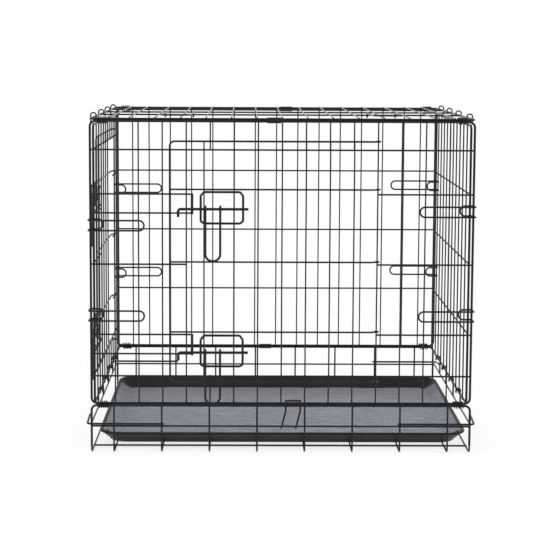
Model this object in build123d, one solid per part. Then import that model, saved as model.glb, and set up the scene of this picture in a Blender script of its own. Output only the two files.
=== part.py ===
from build123d import *
import math
import os

# Wire dog crate. Millimetres, +Z up, front towards -Y.
# The panels are built about the crate's middle and moved at the end,
# so that the origin lies under the middle of the whole crate.

# Driving sizes of the standing crate
crate_width = 622.0      # between the middles of the corner posts
crate_depth = 465.0      # between the front and back hinge lines
fence_height = 79.2      # top wire of the base fences
hinge_gap = 3.4          # one wire of a hinge line lies this far above the other
hinge_shift = 2.4        # and this far behind it
panel_top = 546.2        # top wire of the front and back panels
corner_round = 9.0       # bend of the panel frames

# Wires
frame_r = 1.95
mesh_r = 1.2             # wires that stand upright or run front to back
level_r = 1.45           # horizontal wires
fence_r = 1.5
fence_top_r = 1.9
loop_r = 1.5
roof_hook_r = 1.2
door_frame_r = 1.6
keeper_r = 2.2
bolt_r = 2.2
handle_r = 1.9
guide_r = 1.9
corner_rod_r = 1.75
coil_r = 1.0
eye_turn = 275.0         # degrees of wire in an open eye
weld_bite = 0.4          # how far welded wires sink into each other
clearance = 0.3          # between wires that move or only touch

# Levels of the horizontal wires
level_lintel = 500.0
level_upper = 428.0
level_upper_keeper = 397.0
level_middle = 313.0
level_lower = 197.0
level_lower_keeper = 165.0
level_sill = 128.0

# Grids
front_gaps = 16
doorway_gaps = 8
end_gaps = 12
end_doorway_gaps = 6
roof_pitch = 41.2
roof_wide_gaps = 12
roof_cross_wires = (-72.0, 32.0, 140.0)

# Doors
door_top = 514.0
door_bottom = 118.0
door_levels = (436.0, 317.5, 202.0)
door_overlap = 26.5      # how far a door passes the latch side of its doorway
door_gap = 0.6           # between a door and its panel
door_corner_round = 8.0
door_step = 4.5          # runs of the step from a door to its hinge eyes
door_step_bend = 3.0
first_door_wire = 29.0   # from the latch side of the doorway to the door's first wire

# Latches, measured from the latch side of the doorway
bolt_level_upper = 405.0
bolt_level_lower = 170.0
bolt_start = -12.6
bolt_length = 113.6
bolt_bend_drop = 13.0
bolt_bend_round = 4.0
keeper_reach = 9.5
guide_start = 24.0
guide_length = 68.3
guide_height = 51.0
guide_rise = 1.8         # middle of the guide above the bolt
guide_corner = 5.0
handle_start = 31.5
handle_width = 24.0
handle_drop = 84.0

# End panels
end_inset = 4.0          # end panels stand this far inside the corner posts
end_side_gap = 11.5      # from the front hinge line to the end panel's post
end_bottom = 80.0        # fold axis of the end panels
end_top = 540.0
end_hook_places = (-130.0, -46.0, 46.0, 130.0)

# Base
side_wire_level = 50.0
fence_mid_level = 44.7
fence_inner_wires = 8
fence_inner_pitch = 78.4
fence_bend = 7.0
fence_corner = 8.0       # bend of the fence's top wire into its corner uprights
fence_cut = 10.0         # the floor's section ends at this height
floor_cross_wires = (-205.0, 0.0, 205.0)
corner_rod_level = 49.0
corner_rod_length = 119.0
corner_rod_return = 42.0
corner_rod_rise = 5.0
corner_rod_reach = 7.0

# Corner clips
clip_length = 87.0
clip_height = 16.5
clip_short_length = 21.0
clip_depth = 20.5
clip_levels_front_left = (376.5, 228.0)
clip_levels_front_right = (400.0, 228.0)
clip_levels_back_left = (392.3, 228.0)
clip_levels_back_right = (400.0, 232.5)

# Hinge coils and sheet clips
coil_turns = 5
coil_pitch = 3.4
coil_from_post = 19.0
sheet_wall = 0.8
sheet_length = 23.0
sheet_places = {"top_front": -13.5, "top_back": 18.0, "base_back": -20.0}

# Roof hooks and carry handles
roof_hook_places = (-176.0, -50.0, 62.0, 172.0)
roof_hook_drop = 10.0
roof_hook_turn = 4.6
roof_hook_top = 7.4
carry_inner = 150.0
carry_width = 48.0
carry_length = 130.0
carry_step = 15.0
carry_round = 12.0

# Tray, mat and tray keeper
tray_width = 614.0
tray_shift = 4.0         # the tray stands a little to the right
tray_depth = 420.0
tray_height = 21.0
tray_wall = 2.5
tray_slope = 15.0
tray_round = 30.0
mat_thickness = 7.0
mat_wall = 5.0           # the part that is turned up along the tray
mat_gap = 0.6
mat_side_height = 17.6
mat_seam_inset = 12.0    # seams run this far inside the turned-up sides
mat_seam_r = 2.5
mat_seam_depth = 1.5
mat_crown = 2.0
mat_back = 168.0         # the mat stops short of the tray's back wall
keeper_left = 8.0
keeper_width = 24.0
keeper_knee = 68.0
keeper_end = 37.0
keeper_lean = 9.0
keeper_shift = 7.0

# Sizes that follow
half_width = crate_width / 2
front_y = -crate_depth / 2
back_y = crate_depth / 2
fence_y = back_y + hinge_shift
panel_bottom = fence_height + hinge_gap
hinge_span = math.hypot(hinge_gap, hinge_shift)
roof_level = panel_top + hinge_gap
front_pitch = crate_width / front_gaps
end_pitch = crate_depth / end_gaps
end_half = crate_depth / 2 - end_side_gap
end_x = half_width - end_inset
mesh_step = mesh_r + level_r - weld_bite
door_y = -(level_r + door_gap + door_frame_r)
door_wire_y = door_y - mesh_step
handle_eye = bolt_r + clearance + handle_r
bolt_y = door_wire_y - mesh_r - clearance - handle_eye - handle_r
guide_side_y = bolt_y - bolt_r - clearance - guide_r
guide_run_y = door_wire_y - mesh_r - guide_r - 0.05
roof_edge_pitch = (crate_width - roof_wide_gaps * roof_pitch) / 4
roof_wire_places = [roof_pitch * (i - roof_wide_gaps / 2) for i in range(roof_wide_gaps + 1)]
roof_wire_places += [side * (half_width - roof_edge_pitch) for side in (-1, 1)]
floor_cross_z = 3 * fence_r - weld_bite
tray_z = floor_cross_z + fence_r + clearance


def rod(start, end, radius):
    """Straight wire between two points."""
    line = Vector(*end) - Vector(*start)
    return Solid.make_cylinder(radius, line.length, Plane(origin=start, z_dir=line))


def tube(edges, radius):
    """Wire of round section along joined edges."""
    path = Wire(edges)
    section = Plane(origin=path @ 0, z_dir=path % 0) * Circle(radius)
    return sweep(section, path=path).solid()


def curl(before, start, centre):
    """Arcs of an open eye that carries on from a run towards its start."""
    start, centre = Vector(*start), Vector(*centre)
    across = start - centre
    along = (start - Vector(*before)).normalized() * across.length

    def at(share):
        angle = math.radians(eye_turn * share)
        return centre + across * math.cos(angle) + along * math.sin(angle)

    return [ThreePointArc(at(0), at(0.25), at(0.5)).edge(), ThreePointArc(at(0.5), at(0.75), at(1)).edge()]


def bent(points, radius, bend, first_eye=None, last_eye=None):
    """Wire along straight runs with round bends; an eye is given by its centre."""
    edges = list(FilletPolyline(*points, radius=bend).edges())
    if first_eye:
        edges = curl(points[1], points[0], first_eye) + edges
    if last_eye:
        edges += curl(points[-2], points[-1], last_eye)
    return tube(edges, radius)


def loop(points, radius, bend):
    """Closed wire loop with round corners, started in the middle of its first run."""
    middle = (Vector(*points[0]) + Vector(*points[1])) * 0.5
    half_one = [middle, *points[1:3], (Vector(*points[2]) + Vector(*points[3])) * 0.5]
    half_two = [half_one[-1], points[3], points[0], middle]
    return weld([bent(half_one, radius, bend), bent(half_two, radius, bend)])


def weld(wires):
    """Fuse wires into one piece."""
    first, *rest = wires
    return first.fuse(*rest).clean() if rest else first


def rectangle_frame(half, low, high, radius):
    """Round-cornered frame in the XZ plane."""
    corners = [(-half, 0, low), (half, 0, low), (half, 0, high), (-half, 0, high)]
    return loop(corners, radius, corner_round)


def upright(x, low, high, y=mesh_step, radius=mesh_r):
    return rod((x, y, low), (x, y, high), radius)


def level(z, start, end, y=0.0, radius=level_r):
    return rod((start, y, z), (end, y, z), radius)


def section(piece, low, high):
    """Solids of a welded piece that lie in a box, cut flat at its faces."""
    size = [b - a for a, b in zip(low, high)]
    middle = [(a + b) / 2 for a, b in zip(low, high)]
    return (piece & Pos(*middle) * Box(*size)).solids()


def cut_at(piece, axis, places):
    """Solids of a welded piece, cut across one axis; they meet face to face."""
    far = 2000.0
    ends = [-far, *places, far]
    solids = []
    for start, end in zip(ends, ends[1:]):
        low, high = [-far] * 3, [far] * 3
        low[axis], high[axis] = start, end
        solids += section(piece, low, high)
    return solids


# Panels are made in the XZ plane with their inside towards +Y

def plain_panel(half, low, high, places, levels):
    wires = [rectangle_frame(half, low, high, frame_r)]
    wires += [upright(x, low, high) for x in places]
    wires += [level(z, -half, half) for z in levels]
    return weld(wires)


def doorway_panel(half, low, high, places, edge, hand):
    """Grid with a doorway between -edge and edge; its latch side is at -hand * edge."""
    latch_x = -hand * edge
    keeper_x = latch_x + hand * keeper_reach
    wires = [rectangle_frame(half, low, high, frame_r)]
    for x in places:
        if abs(x) < edge - 1:
            wires.append(upright(x, level_lintel - level_r, high))
            wires.append(upright(x, low, level_sill + level_r))
        else:
            wires.append(upright(x, low, high))
    wires += [level(z, -half, half) for z in (level_lintel, level_sill)]
    for z in (level_upper, level_middle, level_lower):
        wires.append(level(z, hand * edge - hand * mesh_r, hand * half))
    for pair in ((level_upper, level_upper_keeper), (level_lower, level_lower_keeper)):
        wires += [level(z, -hand * half, keeper_x) for z in pair]
        bar_y = -(level_r + keeper_r - weld_bite)
        wires.append(upright(keeper_x, pair[1] - level_r, pair[0] + level_r, bar_y, keeper_r))
    wires.append(level(level_middle, -hand * half, latch_x))
    return cut_at(weld(wires), 2, (level_sill + level_r + 0.05, level_lintel - level_r - 0.05))


def door(edge, hand, places):
    """Door whose wires end in eyes round the upright at the hinge side of the doorway."""
    free_x = -hand * (edge + door_overlap)
    hinge_x = hand * edge

    def hinge_run(z, radius):
        """Eye centre and the run that steps in from the door to its eye."""
        eye_y = mesh_step - (mesh_r + clearance + radius)
        near, far = hinge_x - hand * door_step, hinge_x - hand * 2 * door_step
        return (hinge_x, mesh_step, z), [(hinge_x, eye_y, z), (near, eye_y, z), (far, door_y, z)]

    low_eye, low_run = hinge_run(door_bottom, door_frame_r)
    high_eye, high_run = hinge_run(door_top, door_frame_r)
    edge_run = [(free_x, door_y, door_bottom), (free_x, door_y, door_top)]
    bends = [door_step_bend, door_step_bend, door_corner_round]
    frame_path = [*low_run, *edge_run, *reversed(high_run)]
    wires = [bent(frame_path, door_frame_r, bends + bends[::-1], low_eye, high_eye)]
    wires += [upright(x, door_bottom, door_top, door_wire_y) for x in places]
    for z in door_levels:
        eye, run = hinge_run(z, level_r)
        wires.append(bent([*run, (free_x, door_y, z)], level_r, door_step_bend, eye))
    return cut_at(weld(wires), 0, [hinge_x - hand * (2 * door_step + 1.5)])


def latch_guide(edge, hand, bolt_z):
    """Closed wire loop on the door that holds the bolt from outside."""
    left = -edge + guide_start
    right = left + guide_length
    low = bolt_z + guide_rise - guide_height / 2
    high = low + guide_height
    run = right - guide_corner
    middle = (left + right) / 2
    side = [
        (middle, guide_run_y, low),
        (run, guide_run_y, low),
        (right, guide_side_y, low + guide_corner),
        (right, guide_side_y, high - guide_corner),
        (run, guide_run_y, high),
        (middle, guide_run_y, high),
    ]
    other = [(2 * middle - x, y, z) for x, y, z in side]
    bend = 0.7 * guide_corner
    guide = weld([bent(side, guide_r, bend), bent(other, guide_r, bend)])
    return guide if hand > 0 else guide.mirror(Plane.YZ)


def bolt(edge, hand, bolt_z):
    """Sliding rod with its end bent down."""
    start = -edge + bolt_start
    points = [
        (start, bolt_y, bolt_z - bolt_bend_drop),
        (start, bolt_y, bolt_z),
        (start + bolt_length, bolt_y, bolt_z),
    ]
    return bent([(hand * x, y, z) for x, y, z in points], bolt_r, bolt_bend_round)


def bolt_handle(edge, hand, bolt_z):
    """U wire that hangs from the bolt by two eyes."""
    left = hand * (-edge + handle_start)
    right = left + hand * handle_width
    leg_y = bolt_y - handle_eye
    low = bolt_z - handle_drop
    points = [(left, leg_y, bolt_z), (left, leg_y, low), (right, leg_y, low), (right, leg_y, bolt_z)]
    eyes = [(x, bolt_y, bolt_z) for x in (left, right)]
    return bent(points, handle_r, handle_width / 2 - 0.5, *eyes)


def base_frame():
    inner_start = -fence_inner_pitch * (fence_inner_wires - 1) / 2
    places = [inner_start + fence_inner_pitch * i for i in range(fence_inner_wires)]
    tops = [fence_height] * fence_inner_wires
    places += [-half_width, half_width]
    tops += [fence_height - fence_corner] * 2
    wires = []
    for x, top in zip(places, tops):
        points = [(x, -fence_y, top), (x, -fence_y, fence_r), (x, fence_y, fence_r), (x, fence_y, top)]
        wires.append(bent(points, fence_r, fence_bend))
    for y in (-fence_y, fence_y):
        corners = [(x, y, fence_height) for x in (-half_width, half_width)]
        feet = [(x, y, fence_cut + 2) for x in (-half_width, half_width)]
        wires.append(bent([feet[0], *corners, feet[1]], fence_top_r, fence_corner))
        wires.append(level(fence_mid_level, -half_width, half_width, y, fence_r))
    for y in floor_cross_wires:
        wires.append(level(floor_cross_z, -half_width, half_width, y, fence_r))
    for side in (-1, 1):
        wires.append(rod((side * half_width, -fence_y, side_wire_level), (side * half_width, fence_y, side_wire_level), fence_r))
        wires += [end_hook(side, y) for y in end_hook_places]
        wires += [corner_rod(side, end) for end in (-1, 1)]
    floor, *rest = cut_at(weld(wires), 2, [fence_cut])
    side_cut = crate_depth / 2 - 6
    return [floor] + [solid for piece in rest for solid in cut_at(piece, 1, (-side_cut, side_cut))]


def end_hook(side, y):
    """Hook on the side wire that carries the bottom wire of an end panel."""
    turn = frame_r + clearance + loop_r
    outer = side * (end_x + turn)
    inner = side * (end_x - turn)
    top = end_bottom + turn
    points = [(outer, y, side_wire_level), (outer, y, top), (inner, y, top), (inner, y, end_bottom - turn)]
    return bent(points, loop_r, turn - 0.01)


def corner_rod(side, end):
    """Rod along the fence that turns round the corner outside the end panel."""
    run_y = end * (fence_y + fence_r + corner_rod_r - weld_bite)
    outer = side * (half_width + corner_rod_reach)
    points = [
        (side * (half_width - corner_rod_length), run_y, corner_rod_level),
        (outer, run_y, corner_rod_level),
        (outer, run_y - end * corner_rod_return, corner_rod_level + corner_rod_rise),
    ]
    return bent(points, corner_rod_r, corner_rod_reach - 1.0)


def roof_panel():
    low_y, high_y = front_y + hinge_shift, back_y - hinge_shift
    corners = [(-half_width, low_y, 0), (half_width, low_y, 0), (half_width, high_y, 0), (-half_width, high_y, 0)]
    wires = [loop(corners, frame_r, corner_round)]
    wires += [rod((x, low_y, mesh_step), (x, high_y, mesh_step), mesh_r) for x in roof_wire_places]
    wires += [level(0, -half_width, half_width, y) for y in roof_cross_wires]
    for side in (-1, 1):
        wires += [roof_hook(side, y) for y in roof_hook_places]
    hooks_from = half_width - roof_hook_turn - 2 * roof_hook_r
    left, sheet, right = cut_at(Pos(0, 0, roof_level) * weld(wires), 0, (-hooks_from, hooks_from))
    grip_from = low_y + frame_r + 0.05
    grip_to = roof_cross_wires[0] - level_r - 0.05
    return [left, right, *cut_at(sheet, 1, (grip_from, grip_to))]


def roof_hook(side, y):
    """Wire arched over the roof's side wire that stops the end panel from outside."""
    touch = side * (half_width - frame_r - roof_hook_r + weld_bite)
    inner = side * (half_width - roof_hook_turn)
    outer = side * (half_width + roof_hook_turn)
    points = [(touch, y, -0.3), (inner, y, 2.2), (inner, y, roof_hook_top), (outer, y, roof_hook_top), (outer, y, -roof_hook_drop)]
    turn = roof_hook_turn - 0.01
    return bent(points, roof_hook_r, [0.8, turn, turn])


def corner_clip(side, middle):
    """Wire loop folded round the corner post, long outside and short inside."""
    run_y = -(frame_r + loop_r + 0.05)
    outer = side * (half_width + frame_r + loop_r + 0.1)
    long_x = side * (half_width - clip_length)
    short_x = side * (half_width + frame_r - clip_short_length)
    half = clip_height / 2
    round_end = half - 0.01
    fold = frame_r + 1.0
    long_end = bent(
        [(long_x + side * 30, run_y, middle - half), (long_x, run_y, middle - half),
         (long_x, run_y, middle + half), (long_x + side * 30, run_y, middle + half)], loop_r, round_end)
    deep_y = run_y + clip_depth
    short_end = bent(
        [(short_x + side * 10, deep_y, middle - half), (short_x, deep_y, middle - half),
         (short_x, deep_y, middle + half), (short_x + side * 10, deep_y, middle + half)], loop_r, round_end)
    sides = []
    for z in (middle - half, middle + half):
        points = [(long_x + side * 30, run_y, z), (outer, run_y, z), (outer, deep_y, z), (short_x + side * 10, deep_y, z)]
        sides.append(bent(points, loop_r, fold))
    return weld([long_end, short_end, *sides])


def coil(x_middle, y, z):
    """One wire wound round both wires of a hinge line, in half turns."""
    mean = hinge_span / 2 + frame_r + clearance + coil_r
    start = x_middle - coil_turns * coil_pitch / 2

    def at(turns):
        angle = 2 * math.pi * turns
        return Vector(start + coil_pitch * turns, y + mean * math.cos(angle), z + mean * math.sin(angle))

    halves = [half / 2 for half in range(2 * coil_turns)]
    return tube([ThreePointArc(at(h), at(h + 0.25), at(h + 0.5)).edge() for h in halves], coil_r)


def coil_self_gap():
    """Least gap between neighbouring turns of a coil, measured on points."""
    mean = hinge_span / 2 + frame_r + clearance + coil_r
    steps = 48
    points = []
    for i in range(steps * coil_turns):
        angle = 2 * math.pi * i / steps
        points.append(Vector(coil_pitch * i / steps, mean * math.cos(angle), mean * math.sin(angle)))
    far = steps // 2
    return min((b - a).length for i, a in enumerate(points) for b in points[i + far:]) - 2 * coil_r


def sheet_clip(x_middle, y, z, lean):
    """Sheet sleeve round both wires of a hinge line."""
    inner_r = frame_r + clearance
    plane = Plane(origin=(x_middle - sheet_length / 2, y, z), x_dir=(0, lean * hinge_shift, hinge_gap), z_dir=(1, 0, 0))
    outer = SlotCenterToCenter(hinge_span, 2 * (inner_r + sheet_wall))
    profile = outer - SlotCenterToCenter(hinge_span, 2 * inner_r)
    return extrude(plane * profile, amount=sheet_length).solid()


def pan(inset, low, high):
    """Rounded block that follows the slope of the tray's walls, inset from their outside."""
    def layer(z):
        lean = 2 * tray_slope * (z - tray_z) / tray_height
        width = tray_width - 2 * tray_slope - 2 * inset + lean
        depth = tray_depth - 2 * tray_slope - 2 * inset + lean
        return Plane((tray_shift, 0, z)) * RectangleRounded(width, depth, tray_round - inset)

    return loft([layer(low), layer(high)], ruled=True)


def tray():
    high = tray_z + tray_height
    return (pan(0, tray_z, high) - pan(tray_wall, tray_z + tray_wall, high + 1)).solid()


def mat():
    """Crowned pad turned up along three walls of the tray, with seams along the folds."""
    low = tray_z + tray_wall + mat_gap
    high = low + mat_side_height
    inset = tray_wall + mat_gap
    top = low + mat_thickness
    pad = pan(inset, low, high) - pan(inset + mat_wall, top, high + 1)

    lean = tray_slope * (top - tray_z) / tray_height
    half_floor = tray_width / 2 - tray_slope - inset - mat_wall + lean
    front_floor = -(tray_depth / 2 - tray_slope - inset - mat_wall + lean)
    seam_x = half_floor - mat_seam_inset
    seam_y = front_floor + mat_seam_inset
    seam_z = top + mat_seam_r - mat_seam_depth
    crown_face = make_face([
        ThreePointArc((-seam_x, top - 0.5), (0, top + mat_crown), (seam_x, top - 0.5)).edge(),
        Line((seam_x, top - 0.5), (seam_x, low + 2)).edge(),
        Line((seam_x, low + 2), (-seam_x, low + 2)).edge(),
        Line((-seam_x, low + 2), (-seam_x, top - 0.5)).edge(),
    ])
    across = Plane(origin=(tray_shift, mat_back, 0), x_dir=(1, 0, 0), z_dir=(0, -1, 0))
    pad += extrude(across * crown_face, amount=mat_back - seam_y)
    for side in (-1, 1):
        x = tray_shift + side * seam_x
        pad -= rod((x, seam_y, seam_z), (x, mat_back + 20, seam_z), mat_seam_r)
        pad -= Solid.make_sphere(mat_seam_r, Plane((x, seam_y, seam_z)))
    pad -= rod((tray_shift - seam_x, seam_y, seam_z), (tray_shift + seam_x, seam_y, seam_z), mat_seam_r)

    rounding = mat_thickness
    foot, corner = (mat_back - 1, low - 1), (mat_back, low + 0.4 * rounding)
    bulge, shoulder = (mat_back - 0.25 * rounding, low + 0.8 * rounding), (mat_back - rounding, top + mat_crown)
    above = (mat_back - 2 * rounding, high + 1)
    far = -tray_depth
    outline = [Line(foot, corner), ThreePointArc(corner, bulge, shoulder), Line(shoulder, above)]
    outline += [Line(above, (far, high + 1)), Line((far, high + 1), (far, low - 1)), Line((far, low - 1), foot)]
    along = Plane(origin=(-tray_width, 0, 0), x_dir=(0, 1, 0), z_dir=(1, 0, 0))
    back_end = extrude(along * make_face([line.edge() for line in outline]), amount=2 * tray_width)
    return (pad & back_end).solid()


def tray_keeper():
    """Bail whose two eyes turn round the front hinge line."""
    axis_y = front_y - hinge_shift / 2
    axis_z = fence_height + hinge_gap / 2
    eye = hinge_span / 2 + frame_r + clearance + loop_r
    bar_z = axis_z + eye + weld_bite
    right = keeper_left + keeper_width
    wires = [rod((keeper_left - 0.8, axis_y, bar_z), (right + 0.8, axis_y, bar_z), loop_r)]
    for x in (keeper_left, right):
        leg = [
            (x - keeper_shift, axis_y + eye + keeper_lean, keeper_end),
            (x, axis_y + eye, keeper_knee),
            (x, axis_y + eye, axis_z),
        ]
        wires.append(bent(leg, loop_r, 12.0, last_eye=(x, axis_y, axis_z)))
    return weld(wires)


def carry_handle(side):
    """Bail on the front cross wire of the roof, folded flat."""
    eye = level_r + clearance + loop_r
    pivot_y = roof_cross_wires[0]
    rest_z = roof_level + mesh_step + mesh_r + clearance + loop_r
    inner = side * carry_inner
    outer = side * (carry_inner + carry_width)
    grip_y = pivot_y - carry_length
    arm = [(pivot_y, roof_level + eye), (pivot_y - carry_step, roof_level + eye), (grip_y, rest_z)]
    points = [(inner, *place) for place in arm] + [(outer, *place) for place in reversed(arm)]
    eyes = [(x, pivot_y, roof_level) for x in (inner, outer)]
    return bent(points, loop_r, [carry_step, carry_round, carry_round, carry_step], *eyes)


# Places of the four walls
at_front = Pos(0, front_y, 0)
at_back = Pos(0, back_y, 0) * Rot(0, 0, 180)
at_left = Pos(-end_x, 0, 0) * Rot(0, 0, -90)
at_right = Pos(end_x, 0, 0) * Rot(0, 0, 90)

front_places = [front_pitch * (i - front_gaps / 2) for i in range(1, front_gaps)]
end_places = [end_pitch * (i - end_gaps / 2) for i in range(1, end_gaps)]
doorway_edge = front_pitch * doorway_gaps / 2
end_doorway_edge = end_pitch * end_doorway_gaps / 2
panel_levels = (level_upper, level_middle, level_lower)


def door_places(edge, pitch, gaps, hand):
    """Door wires: one by the latch, the rest on the panel's own pitch."""
    places = [-edge + first_door_wire] + [-edge + pitch * i for i in range(2, gaps)]
    return [hand * x for x in places]


def joined(solids, place=Pos(0, 0, 0)):
    """Solids of one node, set in their place."""
    return Compound(children=[place * solid for solid in solids])


nodes = {
    "base_frame": joined(base_frame()),
    "front_panel": joined(doorway_panel(half_width, panel_bottom, panel_top, front_places, doorway_edge, 1), at_front),
    "back_panel": at_back * plain_panel(half_width, panel_bottom, panel_top, roof_wire_places, panel_levels),
    "roof_panel": joined(roof_panel()),
    "left_end_panel": joined(doorway_panel(end_half, end_bottom, end_top, end_places, end_doorway_edge, -1), at_left),
    "right_end_panel": at_right * plain_panel(end_half, end_bottom, end_top, end_places, panel_levels),
    "tray": tray(),
    "mat": mat(),
    "tray_keeper": tray_keeper(),
    "left_carry_handle": carry_handle(-1),
    "right_carry_handle": carry_handle(1),
}

doors = {
    "front": (at_front, doorway_edge, front_pitch, doorway_gaps, 1),
    "left": (at_left, end_doorway_edge, end_pitch, end_doorway_gaps, -1),
}
bolt_levels = {"upper": bolt_level_upper, "lower": bolt_level_lower}
for wall, (place, edge, pitch, gaps, hand) in doors.items():
    nodes[f"{wall}_door"] = joined(door(edge, hand, door_places(edge, pitch, gaps, hand)), place)
    for row, bolt_z in bolt_levels.items():
        nodes[f"{wall}_{row}_guide"] = place * latch_guide(edge, hand, bolt_z)
        nodes[f"{wall}_{row}_bolt"] = place * bolt(edge, hand, bolt_z)
        nodes[f"{wall}_{row}_handle"] = place * bolt_handle(edge, hand, bolt_z)

# Corner clips: the front left pair sits lower, clear of the left door's latch
front_clips = [corner_clip(-1, z) for z in clip_levels_front_left]
front_clips += [corner_clip(1, z) for z in clip_levels_front_right]
back_clips = [corner_clip(-1, z) for z in clip_levels_back_right]
back_clips += [corner_clip(1, z) for z in clip_levels_back_left]
nodes["front_corner_clips"] = joined(front_clips, at_front)
nodes["back_corner_clips"] = joined(back_clips, at_back)

# Hinge lines: coils by the corners and a sheet clip near the middle
top_z, base_z = panel_top + hinge_gap / 2, fence_height + hinge_gap / 2
hinge_lines = {
    "top_front": (front_y + hinge_shift / 2, top_z, 1),
    "top_back": (back_y - hinge_shift / 2, top_z, -1),
    "base_front": (front_y - hinge_shift / 2, base_z, 1),
    "base_back": (back_y + hinge_shift / 2, base_z, -1),
}
coil_x = half_width - coil_from_post
for line, (y, z, lean) in hinge_lines.items():
    nodes[f"{line}_coils"] = Compound(children=[coil(x, y, z) for x in (-coil_x, coil_x)])
    if line in sheet_places:
        nodes[f"{line}_clip"] = sheet_clip(sheet_places[line], y, z, lean)

# The origin goes under the middle of the whole crate
box = Compound(children=[shape.moved(Location()) for shape in nodes.values()]).bounding_box()
to_origin = Pos(-box.center().X, -box.center().Y, -box.min.Z)
print("moved by", to_origin.position, "size", box.size)
print("least gap between the turns of a coil", round(coil_self_gap(), 2))

os.makedirs("parts", exist_ok=True)
for name, shape in nodes.items():
    export_step(to_origin * shape, f"parts/{name}.step")
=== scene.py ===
import bpy, bmesh, math
from mathutils import Matrix, Vector, noise


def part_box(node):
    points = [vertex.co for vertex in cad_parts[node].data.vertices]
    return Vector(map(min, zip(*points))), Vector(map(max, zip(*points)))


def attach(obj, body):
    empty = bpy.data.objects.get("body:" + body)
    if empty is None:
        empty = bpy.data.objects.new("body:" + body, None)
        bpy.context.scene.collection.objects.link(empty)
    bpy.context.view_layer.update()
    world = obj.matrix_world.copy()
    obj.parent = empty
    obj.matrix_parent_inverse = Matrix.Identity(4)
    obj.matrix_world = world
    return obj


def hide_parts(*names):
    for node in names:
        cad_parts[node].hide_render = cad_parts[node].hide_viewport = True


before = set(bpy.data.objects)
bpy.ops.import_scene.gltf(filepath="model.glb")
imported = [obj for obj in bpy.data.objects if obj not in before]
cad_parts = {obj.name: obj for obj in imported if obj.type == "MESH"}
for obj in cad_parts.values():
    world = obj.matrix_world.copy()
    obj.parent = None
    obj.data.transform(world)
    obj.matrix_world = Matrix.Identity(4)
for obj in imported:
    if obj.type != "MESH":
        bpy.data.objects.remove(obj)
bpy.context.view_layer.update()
scene = bpy.context.scene
print("frame loaded:", len(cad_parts), "nodes")

# shader helpers


class Value:
    def __init__(self, tree, socket):
        self.tree, self.socket = tree, socket

    def math(self, operation, first, second=0.0):
        made = self.tree.nodes.new("ShaderNodeMath")
        made.operation = operation
        for place, item in zip(made.inputs, (first, second)):
            if isinstance(item, Value):
                self.tree.links.new(item.socket, place)
            else:
                place.default_value = item
        return Value(self.tree, made.outputs[0])

    def __add__(self, other): return self.math("ADD", self, other)
    def __radd__(self, other): return self.math("ADD", other, self)
    def __sub__(self, other): return self.math("SUBTRACT", self, other)
    def __rsub__(self, other): return self.math("SUBTRACT", other, self)
    def __mul__(self, other): return self.math("MULTIPLY", self, other)
    def __rmul__(self, other): return self.math("MULTIPLY", other, self)
    def above(self, edge): return self.math("GREATER_THAN", self, edge)


class Finish:
    def __init__(self, name):
        self.material = bpy.data.materials.new(name)
        self.material.use_nodes = True
        self.tree = self.material.node_tree
        self.tree.nodes.clear()

    # any node: its type, its settings, then what goes into its sockets
    def node(self, kind, settings=None, sockets=None, out=0):
        made = self.tree.nodes.new("ShaderNode" + kind)
        for key, item in (settings or {}).items():
            if key == "stops":
                ramp = made.color_ramp
                while len(ramp.elements) < len(item):
                    ramp.elements.new(0.5)
                for element, (place, colour) in zip(ramp.elements, item):
                    element.position, element.color = place, (*colour, 1)
            else:
                setattr(made, key, item)
        for key, item in (sockets or {}).items():
            if isinstance(item, Value):
                self.tree.links.new(item.socket, made.inputs[key])
            else:
                made.inputs[key].default_value = item
        return Value(self.tree, made.outputs[out]) if len(made.outputs) else None

    def place(self, scale=(1, 1, 1)):
        where = self.node("TexCoord", out="Object")
        return self.node("Mapping", {}, {"Vector": where, "Scale": scale})

    def grain(self, where, scale, detail, rough):
        sockets = {"Vector": where, "Scale": scale, "Detail": detail, "Roughness": rough}
        return self.node("TexNoise", {}, sockets)

    def yarns(self, way, scale, waver):
        sockets = {"Vector": self.place(), "Scale": scale, "Distortion": waver, "Detail": 1}
        return self.node("TexWave", {"wave_type": "BANDS", "bands_direction": way}, sockets)

    def ramp(self, factor, stops):
        return self.node("ValToRGB", {"stops": stops}, {"Fac": factor})

    def blend(self, factor, first, second):
        return self.node("Mix", {"data_type": "RGBA"}, {0: factor, 6: first, 7: second}, out=2)

    def rise(self, value, start, end):
        sockets = {"Value": value, "From Min": start, "From Max": end}
        return self.node("MapRange", {"interpolation_type": "SMOOTHSTEP"}, sockets)

    def bump(self, height, strength, distance):
        return self.node("Bump", {}, {"Height": height, "Strength": strength, "Distance": distance})

    def surface(self, **sockets):
        named = {key.replace("_", " "): item for key, item in sockets.items()}
        shader = self.node("BsdfPrincipled", {}, named)
        self.node("OutputMaterial", {}, {"Surface": shader})
        return self.material


# finishes

wireLook = dict(
    dark=(0.004, 0.004, 0.005), worn=(0.009, 0.009, 0.0105), dust=(0.10, 0.10, 0.105),
    cloudScale=55, peelScale=900.0, roughness=0.21, specular=0.25, peelBump=0.05,
)


def coatedWire():
    f = Finish("coatedWire")
    spot = f.place()
    cloud = f.grain(spot, wireLook["cloudScale"], 4, 0.6)
    peel = f.grain(spot, wireLook["peelScale"], 2, 0.4)
    up = f.node("SeparateXYZ", {}, {0: f.node("NewGeometry", out="Normal")}, out="Z")
    dust = up.math("MAXIMUM", up, 0.0) * cloud * 0.5  # on faces that look up
    colour = f.blend(cloud, (*wireLook["dark"], 1), (*wireLook["worn"], 1))
    colour = f.blend(dust * 0.12, colour, (*wireLook["dust"], 1))
    return f.surface(
        Base_Color=colour,
        Roughness=wireLook["roughness"] - 0.05 + 0.10 * cloud + dust * 0.1,
        Specular_IOR_Level=wireLook["specular"],
        Normal=f.bump(peel, wireLook["peelBump"], 0.0002),
    )


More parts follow.
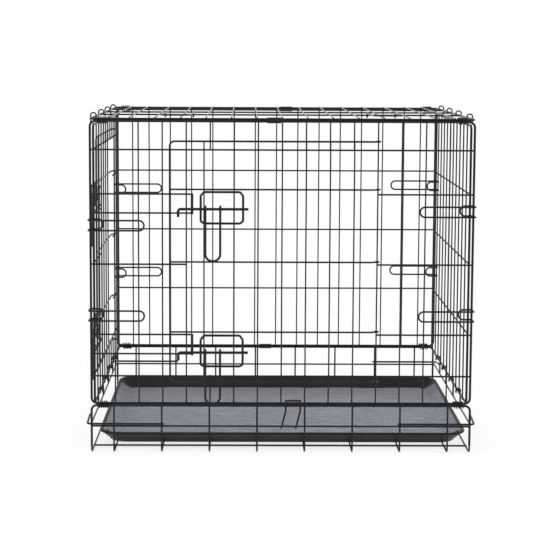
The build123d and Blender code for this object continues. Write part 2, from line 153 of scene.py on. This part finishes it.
trayLook = dict(
    dark=(0.006, 0.006, 0.007), pale=(0.013, 0.013, 0.014), scratch=(0.05, 0.05, 0.052),
    cloudScale=14, grainScale=1100.0, roughness=0.48, specular=0.2, grainBump=0.25,
)


def trayPlastic():
    f = Finish("trayPlastic")
    spot = f.place()
    cloud = f.grain(spot, trayLook["cloudScale"], 5, 0.55)
    grain = f.node("TexVoronoi", {"feature": "F1"}, {"Vector": spot, "Scale": trayLook["grainScale"]})
    scuff = f.grain(f.place((6, 260, 260)), 3.0, 4, 0.7)
    scratch = scuff.above(0.66) * cloud
    colour = f.blend(cloud, (*trayLook["dark"], 1), (*trayLook["pale"], 1))
    colour = f.blend(scratch * 0.25, colour, (*trayLook["scratch"], 1))
    return f.surface(
        Base_Color=colour,
        Roughness=trayLook["roughness"] - 0.1 + 0.2 * cloud + 0.1 * scratch,
        Specular_IOR_Level=trayLook["specular"],
        Normal=f.bump(grain, trayLook["grainBump"], 0.0003),
    )


matLook = dict(
    deep=(0.040, 0.045, 0.062), middle=(0.126, 0.138, 0.182), pale=(0.33, 0.35, 0.42),
    # the last two entries of the next row: where and how strongly painted shade darkens the mat near the back
    # wall
    fleck=(0.42, 0.44, 0.5), paintedShadeRange=(0.02, 0.18), paintedShadeAmount=0.8,
    yarnScale=520.0, slubScale=150.0, fleckScale=380, warpScale=190, weftScale=230,
    sheen=0.25, weaveBump=0.5,
)


def matFabric():
    f = Finish("matFabric")
    fine = f.grain(f.place((0.45, 1, 1)), matLook["yarnScale"], 3, 0.6)
    slub = f.grain(f.place((0.22, 1, 1)), matLook["slubScale"], 4, 0.65)
    fleck = f.grain(f.place((0.5, 1, 1)), matLook["fleckScale"], 2, 0.5)
    shade = 0.55 * fine + 0.45 * slub
    stops = zip((0.34, 0.5, 0.66), (matLook[key] for key in ("deep", "middle", "pale")))
    colour = f.ramp(shade, list(stops))
    colour = f.blend(fleck.above(0.64) * 0.4, colour, (*matLook["fleck"], 1))
    along = f.node("SeparateXYZ", {}, {0: f.node("TexCoord", out="Object")}, out="Y")
    start, end = matLook["paintedShadeRange"]
    far = f.rise(along, start, end)  # painted shade: the mat darkens towards the back, where the back wall shades it
    # painted shade: blends the mat towards its deep colour near the back wall
    colour = f.blend(far * matLook["paintedShadeAmount"], colour, (*matLook["deep"], 1))
    warp = f.yarns("X", matLook["warpScale"], 1.2)
    weft = f.yarns("Y", matLook["weftScale"], 1.6)
    return f.surface(
        Base_Color=colour,
        Roughness=0.86 + 0.1 * slub,
        Sheen_Weight=matLook["sheen"], Sheen_Roughness=0.6,
        Normal=f.bump(warp * 0.5 + weft * 0.5 + fine * 0.6, matLook["weaveBump"], 0.0006),
    )


wire, plastic, fabric = coatedWire(), trayPlastic(), matFabric()
print("finishes made")

# the welded wire: CAD pieces with the coated finish

for name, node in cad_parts.items():
    finish = {"tray": plastic, "mat": fabric}.get(name, wire)
    node.data.materials.clear()
    node.data.materials.append(finish)
print("wire coated")


def newPiece(name, mesh, body, finish):
    piece = bpy.data.objects.new(name, mesh)
    scene.collection.objects.link(piece)
    mesh.materials.append(finish)
    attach(piece, body)
    return piece


# weld beads: a small squeezed bulge wherever two wires cross

welds = dict(
    round=0.00165, flat=0.0013,  # half sizes of a bead, along the wires and across them
    sink=0.00125, endFace=0.00345, doorFace=0.00365,  # beads lie this far from a wire's middle or a panel's face
    depth=0.465, width=0.622, hingeShift=0.0024, roofLevel=0.5496,
    frontPitch=0.038875, endPitch=0.03875, roofPitch=0.0412, edgeWire=0.27910,
    frontDoorway=0.1555, endDoorway=0.11625, lintelAndSill=(0.500, 0.128),
    levels=(0.428, 0.313, 0.197), latchLevels=(0.397, 0.165), crossWires=(-0.072, 0.032, 0.140),
    doorLevels=(0.514, 0.436, 0.3175, 0.202, 0.118), firstDoorWire=0.029,
    floorWires=(-0.205, 0.0, 0.205), floorLevel=0.0028, fencePitch=0.0784, fenceLevel=0.0447,
)


def crateMiddle():
    low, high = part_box("back_panel")
    front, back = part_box("top_front_coils"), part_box("top_back_coils")
    return (low[0] + high[0]) / 2, (front[0][1] + back[1][1]) / 2


def gridWelds(pitch, most, doorway):
    s = welds
    spots = []
    for step in range(-most, most + 1):
        along = pitch * step
        for z in s["levels"] + (s["lintelAndSill"] if doorway else ()):
            inDoorway = doorway and abs(along) < doorway - 0.001
            if not inDoorway or z in s["lintelAndSill"]:
                spots.append((along, z))
        if doorway and -along > doorway - 0.001:
            spots += [(along, z) for z in s["latchLevels"]]
    return spots


def doorWelds(edge, pitch, gaps):
    places = [welds["firstDoorWire"] - edge] + [pitch * step - edge for step in range(2, gaps)]
    return [(along, z) for along in places for z in welds["doorLevels"]]


def beads(name, body, spots, thin):
    size = [welds["flat"] if axis == thin else welds["round"] for axis in range(3)]
    bm = bmesh.new()
    for spot in spots:
        turn = Matrix.Translation(spot) @ Matrix.Diagonal((*size, 1))
        bmesh.ops.create_icosphere(bm, subdivisions=1, radius=1, matrix=turn)
    for face in bm.faces:
        face.smooth = True
    mesh = bpy.data.meshes.new(name)
    bm.to_mesh(mesh)
    bm.free()
    newPiece(name, mesh, body, wire)


def makeWelds():
    s = welds
    sink = s["sink"]
    midX, midY = crateMiddle()
    frontY, backY = midY - s["depth"] / 2, midY + s["depth"] / 2
    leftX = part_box("left_end_panel")[1][0] - s["endFace"]
    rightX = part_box("right_end_panel")[0][0] + s["endFace"]
    roofZ = s["roofLevel"] + sink
    doorOut = s["doorFace"] + sink
    frontGrid = gridWelds(s["frontPitch"], 7, s["frontDoorway"])
    leftGrid = gridWelds(s["endPitch"], 5, s["endDoorway"])
    rightGrid = gridWelds(s["endPitch"], 5, 0)
    frontDoor = doorWelds(s["frontDoorway"], s["frontPitch"], 8)
    leftDoor = doorWelds(s["endDoorway"], s["endPitch"], 6)
    roofWires = [s["roofPitch"] * step for step in range(-6, 7)] + [-s["edgeWire"], s["edgeWire"]]
    fenceWires = [s["fencePitch"] * (step - 3.5) for step in range(8)] + [-s["width"] / 2, s["width"] / 2]
    fences = (frontY - s["hingeShift"], backY + s["hingeShift"])
    beads("frontWelds", "crate", [(midX + a, frontY + sink, z) for a, z in frontGrid], 1)
    beads("backWelds", "crate", [(midX + a, backY - sink, z) for a in roofWires for z in s["levels"]], 1)
    beads("roofWelds", "crate", [(midX + a, midY + y, roofZ) for a in roofWires for y in s["crossWires"]], 2)
    beads("leftWelds", "left_end", [(leftX + sink, midY + a, z) for a, z in leftGrid], 0)
    beads("rightWelds", "right_end", [(rightX - sink, midY + a, z) for a, z in rightGrid], 0)
    beads("frontDoorWelds", "front_door", [(midX + a, frontY - doorOut, z) for a, z in frontDoor], 1)
    beads("leftDoorWelds", "left_door", [(leftX - doorOut, midY + a, z) for a, z in leftDoor], 0)
    floorSpots = [(midX + a, midY + y, s["floorLevel"]) for a in fenceWires for y in s["floorWires"]]
    beads("floorWelds", "crate", floorSpots, 2)
    beads("fenceWelds", "crate", [(midX + a, y, s["fenceLevel"]) for a in fenceWires for y in fences], 1)


makeWelds()
print("welds made")

# tray: a pressed pan with a rolled rim

trayPan = dict(wall=0.0025, lip=0.004, cornerRound=0.030, slope=0.015, perCorner=12)


def roundedLoop(halfX, halfY, radius, z, perCorner):
    corners = [(1, 1, 0), (-1, 1, 90), (-1, -1, 180), (1, -1, 270)]
    points = []
    for sideX, sideY, start in corners:
        for step in range(perCorner + 1):
            angle = math.radians(start + 90 * step / perCorner)
            points.append((sideX * (halfX - radius) + radius * math.cos(angle),
                           sideY * (halfY - radius) + radius * math.sin(angle), z))
    return points


def makeTray():
    low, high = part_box("tray")
    s = trayPan
    mid = [(a + b) / 2 for a, b in zip(low, high)]
    halfX, halfY, height = (high[0] - low[0]) / 2, (high[1] - low[1]) / 2, high[2] - low[2]
    w, lip, slope = s["wall"], s["lip"], s["slope"]
    # each row of the section: how far in from the edge, how high
    outer = [(slope + 0.005, 0.0), (slope + 0.001, 0.0008), (slope - 0.001, 0.004)]
    rim = [(0.6 * lip, height - lip), (0.05 * lip, height - 0.8 * lip), (0.0, height - 0.4 * lip),
           (0.3 * lip, height - 0.1 * lip), (0.7 * lip, height), (lip + 0.3 * w, height - 0.12 * lip),
           (lip + 0.6 * w, height - 0.6 * lip)]
    inner = [(slope + w - 0.0005, w + 0.006), (slope + w + 0.002, w + 0.0015), (slope + w + 0.007, w)]
    rows = outer + rim + inner
    bm = bmesh.new()
    loops = []
    for inset, z in rows:
        ring = roundedLoop(halfX - inset, halfY - inset, s["cornerRound"], low[2] + z, s["perCorner"])
        loops.append([bm.verts.new((x + mid[0], y + mid[1], z)) for x, y, z in ring])
    for below, above in zip(loops, loops[1:]):
        for i in range(len(below)):
            j = (i + 1) % len(below)
            bm.faces.new((below[i], below[j], above[j], above[i]))
    bm.faces.new(list(reversed(loops[0])))
    bm.faces.new(loops[-1])
    for face in bm.faces:
        face.smooth = len(face.verts) == 4
    mesh = bpy.data.meshes.new("trayPan")
    bm.to_mesh(mesh)
    bm.free()
    piece = newPiece("trayPan", mesh, "tray", plastic)
    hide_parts("tray")


makeTray()
print("tray made")

# mat: a thin padded liner, turned up along the tray's sides and front

matPad = dict(
    columns=152, rows=104, thickness=0.0065, edgeRound=0.012, bend=0.010,
    lean=0.0126, frontLean=0.0126, lip=0.0012,
    seamInset=0.011, wallSeam=0.0135, seamDepth=0.0024, seamWidth=0.0030,
    scallop=0.0022, pressure=4.0, frames=20, cap=0.0026, cornerRound=0.024,
)


# a run over the floor and up a wall: how far out, how high, how far the pad tilts
def upTheWall(run, flat, height, lean, bend):
    start = flat - bend
    if run < start:
        return run, 0.0, 0.0
    u = min(1.0, (run - start) / (height + bend))
    return start + (bend + lean) * (1 - (1 - u) ** 1.6), height * u ** 1.5, 0.9 * min(1.0, 1.4 * u)


def makeMat():
    low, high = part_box("mat")
    s = matPad
    midX = (low[0] + high[0]) / 2
    edge = (high[0] - low[0]) / 2 - s["lean"]
    sideRise = high[2] - low[2] - s["lip"]
    spanX = edge + sideRise
    back, front = high[1], low[1] + s["frontLean"]
    depth = back - front
    spanY = depth + sideRise
    bm = bmesh.new()
    sheets, held = [], []
    for top in (False, True):
        grid = []
        for i in range(s["columns"] + 1):
            t = -1 + 2 * i / s["columns"]
            side = 1 if t >= 0 else -1
            outX, upX, tiltX = upTheWall(abs(t) * spanX, edge, sideRise, s["lean"], s["bend"])
            row = []
            for j in range(s["rows"] + 1):
                run = spanY * (1 - j / s["rows"])
                outY, upY, tiltY = upTheWall(run, depth, sideRise, s["frontLean"], s["bend"])
                x, y = side * outX, back - outY
                z = max(upX, upY) + 0.25 * min(upX, upY)
                cornerX, cornerY = edge - s["cornerRound"], front + s["cornerRound"]
                if outX > cornerX and y < cornerY:
                    offX, offY = outX - cornerX, cornerY - y
                    far = math.hypot(offX, offY)
                    most = max(offX, offY)
                    x, y = side * (cornerX + offX * most / far), cornerY - offY * most / far
                rise = 1.2 - 0.6 * max(tiltX, tiltY)
                normal = Vector((-side * math.sin(tiltX), math.sin(tiltY), rise)).normalized()
                border = min((1 - abs(t)) * spanX, spanY - run, run)
                swell = min(1.0, border / s["edgeRound"])
                thick = s["thickness"] * (0.2 + 0.8 * math.sqrt(max(0.0, 1 - (1 - swell) ** 2)))
                y += s["scallop"] * math.sin(x * 61 + 1.3 * math.sin(x * 17)) * max(0.0, 1 - run / 0.03)
                seamFar = min(abs(abs(t) * spanX - (edge - s["seamInset"])),
                              abs(abs(t) * spanX - (edge + s["wallSeam"])),
                              abs(run - (depth - s["seamInset"])))
                groove = math.exp(-(seamFar / s["seamWidth"]) ** 2)
                where = Vector((midX + x, y, low[2] + z))
                if top:
                    loose = 0.0005 * noise.noise(Vector((x * 24, y * 24, 3.1)))
                    loose += 0.0003 * noise.noise(Vector((x * 70, y * 55, 8.7)))
                    where += normal * (thick - s["seamDepth"] * groove + loose * swell)
                row.append(bm.verts.new(where))
                held.append(1.0 if not top or border < 0.002 else max(0.05, groove) ** 0.5)
            grid.append(row)
        sheets.append(grid)
    for top, grid in enumerate(sheets):
        for i in range(s["columns"]):
            for j in range(s["rows"]):
                quad = (grid[i][j], grid[i][j + 1], grid[i + 1][j + 1], grid[i + 1][j])
                bm.faces.new(tuple(reversed(quad)) if top else quad)
    around = []
    for grid in sheets:
        n, m = s["columns"], s["rows"]
        around.append([grid[i][0] for i in range(n)] + [grid[n][j] for j in range(m)]
                      + [grid[i][m] for i in range(n, 0, -1)] + [grid[0][j] for j in range(m, 0, -1)])
    below, above = around
    for i in range(len(below)):
        j = (i + 1) % len(below)
        bm.faces.new((below[i], below[j], above[j], above[i]))
    bmesh.ops.recalc_face_normals(bm, faces=bm.faces)
    for face in bm.faces:
        face.smooth = True
    mesh = bpy.data.meshes.new("matPad")
    bm.to_mesh(mesh)
    bm.free()
    piece = newPiece("matPad", mesh, "tray", fabric)
    puffUp(piece, held)
    piece.modifiers.new("round", "SUBSURF").levels = 1
    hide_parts("mat")


# the cover swells between its seams: a short cloth run with the seams and the underside held
def puffUp(piece, held):
    s = matPad
    mesh = piece.data
    start = [vert.co.copy() for vert in mesh.vertices]
    group = piece.vertex_groups.new(name="held")
    for index, weight in enumerate(held):
        group.add([index], weight, "REPLACE")
    cloth = piece.modifiers.new("puff", "CLOTH")
    cover = cloth.settings
    cover.quality, cover.mass = 5, 0.3
    cover.tension_stiffness = cover.compression_stiffness = 12
    cover.bending_stiffness = 0.4
    cover.use_pressure, cover.uniform_pressure_force = True, s["pressure"]
    cover.vertex_group_mass, cover.pin_stiffness = "held", 1.0
    cover.effector_weights.gravity = 0
    cloth.collision_settings.use_collision = False
    cloth.point_cache.frame_start, cloth.point_cache.frame_end = 1, s["frames"]
    for step in range(1, s["frames"] + 1):
        scene.frame_set(step)
    puffed = piece.evaluated_get(bpy.context.evaluated_depsgraph_get()).to_mesh()
    places = []
    for old, new in zip(start, puffed.vertices):
        move = new.co - old
        places.append(old + move * min(1.0, s["cap"] / max(move.length, 1e-9)))
    piece.modifiers.remove(cloth)
    scene.frame_set(1)
    piece.vertex_groups.remove(group)
    for vert, place in zip(mesh.vertices, places):
        vert.co = place
    mesh.update()


makeMat()
print("mat made")

# floor, light and camera

studio = dict(
    floor=0.9, behind=1.0, ahead=0.55, shadowKept=0.22, shadowReach=(0.45, 1.2), aim=(0, 0, 0.25),
    keyPlace=(-1.2, -1.6, 2.4), keySize=(1.6, 1.2), keyPower=30.0,
    fillPlace=(1.8, -1.0, 1.6), fillSize=(1.2, 1.2), fillPower=14.0,
)


# white paper: the shadow shows close to the crate and fades into plain white
def makeFloor():
    bpy.ops.mesh.primitive_plane_add(size=14, location=(0, 2, -0.0005))
    floor = bpy.context.object
    floor.name = "floor"
    f = Finish("floorPaper")
    path = f.tree.nodes.new("ShaderNodeLightPath")
    seen = [Value(f.tree, path.outputs[key]) for key in ("Is Camera Ray", "Is Glossy Ray", "Is Transmission Ray")]
    anyRay = seen[0].math("MINIMUM", seen[0] + seen[1] + seen[2], 1.0)
    spot = f.node("NewGeometry", out="Position")
    far = f.node("VectorMath", {"operation": "LENGTH"}, {0: spot}, out="Value")
    near, away = studio["shadowReach"]
    fade = f.rise(far, near, away)
    shade = f.node("BsdfDiffuse", {}, {"Color": (studio["floor"],) * 3 + (1,)})
    glow = f.node("Emission", {}, {"Color": (1, 1, 1, 1), "Strength": 1.0})
    plain = 1 - studio["shadowKept"] * (1 - fade)
    f.node("OutputMaterial", {}, {"Surface": f.node("MixShader", {}, {0: anyRay * plain, 1: shade, 2: glow})})
    floor.data.materials.append(f.material)


# the room is brighter behind the crate than on the camera's side
def makeWorld():
    world = bpy.data.worlds.new("studioWorld")
    scene.world = world
    world.use_nodes = True
    tree = world.node_tree
    tree.nodes.clear()
    path = tree.nodes.new("ShaderNodeLightPath")
    way = tree.nodes.new("ShaderNodeTexCoord")
    split = tree.nodes.new("ShaderNodeSeparateXYZ")
    level = tree.nodes.new("ShaderNodeMapRange")
    soft = tree.nodes.new("ShaderNodeBackground")
    seen = tree.nodes.new("ShaderNodeBackground")
    mix = tree.nodes.new("ShaderNodeMixShader")
    out = tree.nodes.new("ShaderNodeOutputWorld")
    level.inputs["From Min"].default_value, level.inputs["From Max"].default_value = -0.9, 0.3
    level.inputs["To Min"].default_value, level.inputs["To Max"].default_value = studio["ahead"], studio["behind"]
    for background in (soft, seen):
        background.inputs[0].default_value, background.inputs[1].default_value = (1, 1, 1, 1), 1.0
    for start, end in (
        (way.outputs["Generated"], split.inputs[0]), (split.outputs["Y"], level.inputs["Value"]),
        (level.outputs[0], soft.inputs[1]), (path.outputs["Is Camera Ray"], mix.inputs[0]),
        (soft.outputs[0], mix.inputs[1]), (seen.outputs[0], mix.inputs[2]), (mix.outputs[0], out.inputs[0]),
    ):
        tree.links.new(start, end)


def softBox(name, place, size, power):
    lamp = bpy.data.lights.new(name, "AREA")
    lamp.shape, lamp.size, lamp.size_y, lamp.energy = "RECTANGLE", size[0], size[1], power
    holder = bpy.data.objects.new(name, lamp)
    holder.location = place
    holder.rotation_euler = (Vector(studio["aim"]) - Vector(place)).to_track_quat("-Z", "Y").to_euler()
    scene.collection.objects.link(holder)


makeFloor()
makeWorld()
for lamp in ("key", "fill"):
    softBox(lamp + "Box", *(studio[lamp + part] for part in ("Place", "Size", "Power")))

# the photograph's own view: focal length and middle in pixels of a 560 frame
photoView = dict(
    place=(-0.0535, -2.5267, 0.6586), yaw=0.39, pitch=5.59, roll=0.24,
    focal=1426.0, middle=(256.6, 191.0), frame=560.0,
)


def makeCamera():
    s = photoView
    yaw, pitch, roll = (math.radians(s[key]) for key in ("yaw", "pitch", "roll"))
    ahead = Vector((math.sin(yaw) * math.cos(pitch), math.cos(yaw) * math.cos(pitch), -math.sin(pitch)))
    right = Vector((math.cos(yaw), -math.sin(yaw), 0))
    up = right.cross(ahead)
    right, up = right * math.cos(roll) + up * math.sin(roll), up * math.cos(roll) - right * math.sin(roll)
    lens = bpy.data.cameras.new("photoCamera")
    lens.sensor_fit, lens.sensor_width = "HORIZONTAL", 36.0
    lens.lens = s["focal"] / s["frame"] * 36.0
    lens.shift_x = 0.5 - s["middle"][0] / s["frame"]
    lens.shift_y = s["middle"][1] / s["frame"] - 0.5
    lens.clip_start, lens.clip_end = 0.05, 50
    camera = bpy.data.objects.new("photoCamera", lens)
    turn = Matrix((right, up, -ahead)).transposed()
    camera.matrix_world = Matrix.Translation(s["place"]) @ turn.to_4x4()
    scene.collection.objects.link(camera)
    scene.camera = camera


makeCamera()
scene.view_settings.view_transform = "Standard"
print("studio set")
